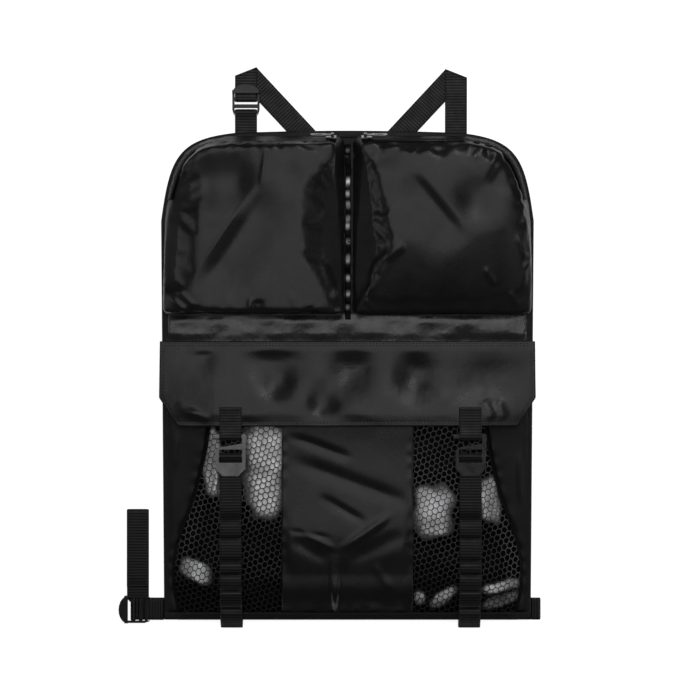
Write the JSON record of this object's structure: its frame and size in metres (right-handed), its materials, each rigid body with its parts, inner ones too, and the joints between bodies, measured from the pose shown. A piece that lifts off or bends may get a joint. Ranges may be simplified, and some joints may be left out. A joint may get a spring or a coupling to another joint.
{
  "type": "car seat storage bag",
  "caption": "Flat black seat-back storage bag lying on its back, with zipped pouches, net pockets under a flap, hooks and folded webbing straps.",
  "frame": {"origin": "centre of the back panel's underside", "axes": "+X to the right of the bag, +Y towards its top, +Z out of its front"},
  "size_m": [0.4797, 0.6388, 0.0379],
  "materials": {
    "satin": "satin woven nylon",
    "coated": "gloss coated cloth",
    "webbing": "ribbed webbing",
    "zip_tape": "woven zip tape with a coil",
    "zip_metal": "polished",
    "net": "knitted net",
    "grey_metal": "satin",
    "black_metal": "satin",
    "lock_plastic": "moulded"
  },
  "bodies": {
    "bag": {"back_panel": "satin", "pouch_shell_left": "satin", "pouch_shell_right": "satin", "flap": "satin", "side_panel_left": "satin", "side_panel_right": "satin", "centre_pocket_panel": "satin", "coated_panel": "coated", "edge_binding": "webbing", "bottom_hem": "webbing", "flap_tab_left": "webbing", "flap_tab_right": "webbing", "hook_strap_left": "webbing", "hook_strap_right": "webbing", "daisy_strap_left": "webbing", "daisy_strap_right": "webbing", "top_strap": "webbing", "top_lock_tab": "webbing", "bottom_strap": "webbing", "bottom_lock_tab": "webbing", "zip_chain_left": "zip_tape", "zip_chain_right": "zip_tape", "mesh_pocket_left": "net", "mesh_pocket_right": "net", "g_hook_left": "grey_metal", "g_hook_right": "black_metal", "top_ladder_lock": "lock_plastic", "bottom_ladder_lock": "lock_plastic"},
    "zip_slider_left": {"zip_slider_left": "zip_metal"},
    "zip_pull_left": {"zip_pull_left": "zip_metal"},
    "zip_slider_right": {"zip_slider_right": "zip_metal"},
    "zip_pull_right": {"zip_pull_right": "zip_metal"}
  },
  "joints": [
    {"name": "zip_left_open", "type": "slide", "parent": "bag", "child": "zip_slider_left", "axis": [-1, 0, 0], "range_m": [0, 0.1]},
    {"name": "zip_right_open", "type": "slide", "parent": "bag", "child": "zip_slider_right", "axis": [1, 0, 0], "range_m": [0, 0.1]},
    {"name": "zip_pull_left_swing", "type": "hinge", "parent": "zip_slider_left", "child": "zip_pull_left", "pos_m": [-0.0169, 0.27128, 0.02028], "axis": [0, 0.4819, -0.8762], "range_deg": [0, 120]},
    {"name": "zip_pull_right_swing", "type": "hinge", "parent": "zip_slider_right", "child": "zip_pull_right", "pos_m": [0.0203, 0.27128, 0.02028], "axis": [0, -0.4819, 0.8762], "range_deg": [0, 120]}
  ]
}
